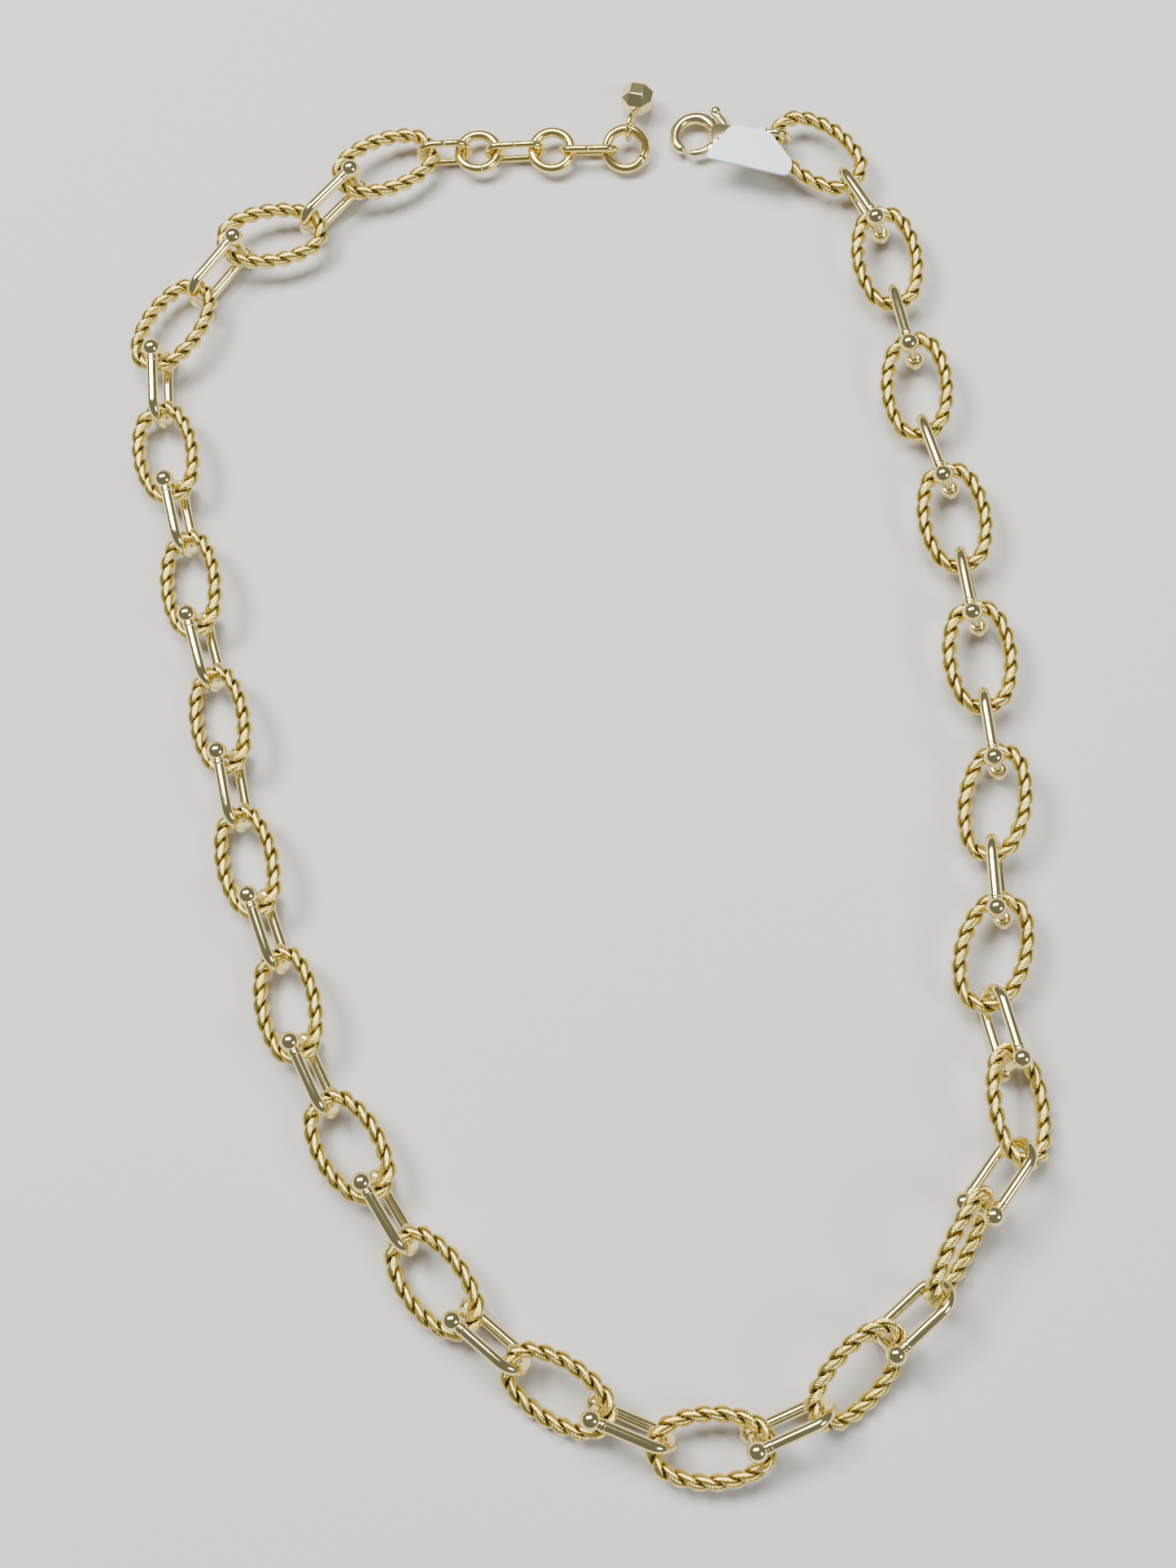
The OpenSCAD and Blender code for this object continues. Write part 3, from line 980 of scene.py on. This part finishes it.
    def lever(self) -> bpy.types.Object:
        """The gate, hub and thumb tab in one piece.

        Returns:
            The lever in the clasp's own frame.
        """
        pivot = Vector((*self.pivot, 0))
        half = self.lever_half
        parts = [Bench.drum(0.9 * MM, 2 * half, pivot, Vector((0, 0, 1)), 0.1 * MM),
                 self.arc(self.hook_radius, *self.gate_angles, self.gate_wire, 14)]
        start, end = self.thumb_angles
        for tip in (self.on_arc(self.hook_radius, self.gate_angles[1]),
                    self.on_arc(self.thumb_radius, start)):
            run = (tip - pivot).normalized()
            side = Vector((-run.y, run.x, 0)) * 0.5 * MM
            corners = [p / MM for p in (pivot - side, tip - side, tip + side, pivot + side)]
            bar = self.rounded([(p.x, p.y) for p in corners], 0.2, 3)
            parts.append(self.plate(bar, -half, half, 0.12 * MM))
        turns = [start + (end - start) * k / 14 for k in range(15)]
        outer = [self.on_arc(self.thumb_radius + self.thumb_width / 2, t).to_2d() for t in turns]
        inner = [self.on_arc(self.thumb_radius - self.thumb_width / 2, t).to_2d() for t in turns]
        parts.append(self.plate(inner[::-1] + outer, -half, half, 0.12 * MM))
        knob = Bench.ball(self.knob_radius, self.on_arc(self.knob_out, end), 24, 16)
        for v in knob.data.vertices:
            v.co.z *= 0.92
        parts.append(knob)
        obj = Bench.join(parts)
        Bench.smooth(obj)
        return obj

    def rivet(self) -> bpy.types.Object:
        """Makes the rivet with its rounded ends.

        Returns:
            The rivet in the clasp's own frame.
        """
        obj = Bench.drum(0.4 * MM, 2.3 * MM, Vector((*self.pivot, 0)), Vector((0, 0, 1)), 0.08 * MM)
        Bench.smooth(obj)
        return obj

    def spring(self) -> bpy.types.Object:
        """Makes the coil spring round the rivet, inside the lever's hub.

        Returns:
            The spring in the clasp's own frame.
        """
        Bench.clear()
        curve = bpy.data.curves.new("spring", "CURVE")
        curve.dimensions = "3D"
        curve.bevel_depth = 0.07 * MM
        curve.bevel_resolution = 1
        curve.use_fill_caps = True
        spline = curve.splines.new("POLY")
        count, coils, radius = 60, 2.5, 0.57 * MM
        spline.points.add(count - 1)
        for k in range(count):
            part = k / (count - 1)
            a = part * coils * 2 * math.pi
            x, y = self.pivot[0] + radius * math.cos(a), self.pivot[1] + radius * math.sin(a)
            spline.points[k].co = (x, y, (0.29 + 0.14 * part) * MM, 1)
        obj = bpy.data.objects.new("spring", curve)
        bpy.context.scene.collection.objects.link(obj)
        obj.select_set(True)
        bpy.context.view_layer.objects.active = obj
        bpy.ops.object.convert(target="MESH")
        return bpy.context.object

    def build(self) -> None:
        """Makes the jump link and the clasp's pieces."""
        wires = Extender(self.seat)
        jump = wires.wire_loop(self.jump_half, wires.link_wire)
        self.seat.hand_over(jump, "clasp_jump_link_wire", "clasp_jump_link", Slot.CLASP, CLASP_GOLD,
                            wires.place_of("clasp_jump_link"))
        place = self.place()
        for obj, node, look, slot, finish in (
                (self.body(), "clasp_body", "_cast", Slot.CLASP, CLASP_GOLD),
                (self.lever(), "clasp_lever", "_cast", Slot.CLASP, CLASP_GOLD),
                (self.rivet(), "clasp_rivet", "_domed", Slot.CLASP, CLASP_GOLD),
                (self.spring(), "clasp_spring", "_coil", Slot.SPRING, SPRING_STEEL)):
            self.seat.hand_over(obj, node + look, node, slot, finish, place)


@dataclass
class PriceTag:
    """Blank folded card label on a narrow neck round the clasp's jump link."""

    seat: Seat
    length: float = 12.6
    width: float = 6.6
    thick: float = 0.18 * MM
    fold: float = 0.26 * MM
    strip_radius: float = 0.78 * MM
    strip_half: float = 0.48 * MM
    turn: float = math.radians(-16)
    shift: tuple = (-1.5 * MM, -2.9 * MM, 0.89 * MM)

    def build(self) -> None:
        """Makes the folded label."""
        pin, axis = self.seat.hinge("price_tag_hinge")
        x = np.array((math.cos(self.turn), math.sin(self.turn), 0.0))
        mid = pin + np.array(self.shift)
        shape = Clasp(self.seat)
        h, w = self.length / 2, self.width / 2
        label = shape.rounded([(-h, -w), (h - 0.1, -w), (h, -w + 2.4), (1.6, w - 0.1), (2.2 - h, w - 0.3),
                               (-h, 1.2 - w)], 1.1, 6)
        parts = []
        for top in (0.0, -self.fold):
            parts.append(shape.plate(label, top - self.thick, top, 0.03 * MM))
        obj = Bench.join(parts)
        obj.data.transform(self.seat.matrix(mid, x, UP))
        obj = Bench.join([obj, self.wrap(pin, axis)])
        Bench.smooth(obj, 35)
        self.seat.hand_over(obj, "price_tag_card", "price_tag", Slot.TAG, CardFinish())

    def wrap(self, pin: np.ndarray, axis: np.ndarray) -> bpy.types.Object:
        """The strip of card that passes round the wire.

        Args:
            pin: Middle of the strip on the wire's axis.
            axis: Direction of the wire.

        Returns:
            The strip.
        """
        x = Vector((1, 0, 0))
        strip = Bench.rod_profile(self.strip_radius, x * -self.strip_half, x, 36)
        Bench.pull(x * 2 * self.strip_half, 2)
        Bench.close(strip, cap=False)
        wall = strip.modifiers.new("wall", "SOLIDIFY")
        wall.thickness = self.thick / 2
        wall.offset = 1.0
        Bench.apply_modifiers(strip)
        strip.data.transform(self.seat.matrix(pin, axis, UP))
        return strip


# ---------------------------------------------------------------- stage


@dataclass
class Stage:
    """Plain pale floor, soft studio lights and the camera."""

    floor_z: float = -0.2 * MM
    floor_size: float = 6.0
    eye: tuple = (0.0195, -0.1106, 0.31925)
    right: tuple = (0.9986, 0.0081, -0.0515)
    up: tuple = (0.0081, 0.9523, 0.3049)
    lens: float = 74.74

    def floor(self) -> None:
        """Lays a large matt floor under the necklace."""
        Bench.clear()
        bpy.ops.mesh.primitive_plane_add(size=self.floor_size, location=(0, 0, self.floor_z))
        obj = bpy.context.object
        obj.name = obj.data.name = "floor"
        mat = bpy.data.materials.new("floor_matt")
        mat.use_nodes = True
        shader = mat.node_tree.nodes["Principled BSDF"]
        shader.inputs["Base Color"].default_value = (0.58, 0.56, 0.53, 1)
        shader.inputs["Roughness"].default_value = 0.9
        obj.data.materials.append(mat)

    def lights(self) -> None:
        """Hangs three soft round panels and sets a dim even sky."""
        world = bpy.data.worlds.new("sky")
        world.use_nodes = True
        world.node_tree.nodes["Background"].inputs["Color"].default_value = (0.62, 0.66, 0.72, 1)
        world.node_tree.nodes["Background"].inputs["Strength"].default_value = 0.3
        bpy.context.scene.world = world
        panels = (
            ("key", (-0.5, 0.3, 0.85), 0.4, 14.0, (1.0, 0.98, 0.94)),
            ("fill", (0.7, -0.35, 0.6), 0.35, 5.0, (0.92, 0.96, 1.0)),
            ("top", (-0.03, 0.4, 1.0), 0.55, 13.0, (1.0, 1.0, 1.0)),
        )
        for name, at, size, power, tint in panels:
            light = bpy.data.lights.new(name, "AREA")
            light.shape = "DISK"
            light.size = size
            light.energy = power
            light.color = tint
            obj = bpy.data.objects.new(name, light)
            bpy.context.scene.collection.objects.link(obj)
            obj.location = at
            obj.rotation_euler = (-Vector(at)).to_track_quat("-Z", "Y").to_euler()

    def camera(self) -> None:
        """Stands the camera and makes it the scene's own."""
        cam = bpy.data.cameras.new("camera")
        cam.sensor_fit = "HORIZONTAL"
        cam.sensor_width = 36
        cam.lens = self.lens
        cam.clip_start = 0.01
        cam.clip_end = 20
        obj = bpy.data.objects.new("camera", cam)
        bpy.context.scene.collection.objects.link(obj)
        x, y = Vector(self.right).normalized(), Vector(self.up)
        y = (y - x * x.dot(y)).normalized()
        z = x.cross(y)
        m = Matrix((x, y, z)).transposed().to_4x4()
        m.translation = Vector(self.eye)
        obj.matrix_world = m
        bpy.context.scene.camera = obj

    def build(self) -> None:
        """Sets the whole stage."""
        self.floor()
        self.lights()
        self.camera()


def main() -> None:
    """Builds every piece in order."""
    logging.basicConfig(level=logging.INFO, format="%(message)s")
    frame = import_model()
    Stage().build()
    seat = Seat(frame)
    for maker in (RopeLinks(seat), Shackles(seat), Extender(seat), Clasp(seat), PriceTag(seat)):
        maker.build()
        LOG.info("%s done", type(maker).__name__)
    Bench.clear()


if __name__ == "__main__":
    main()
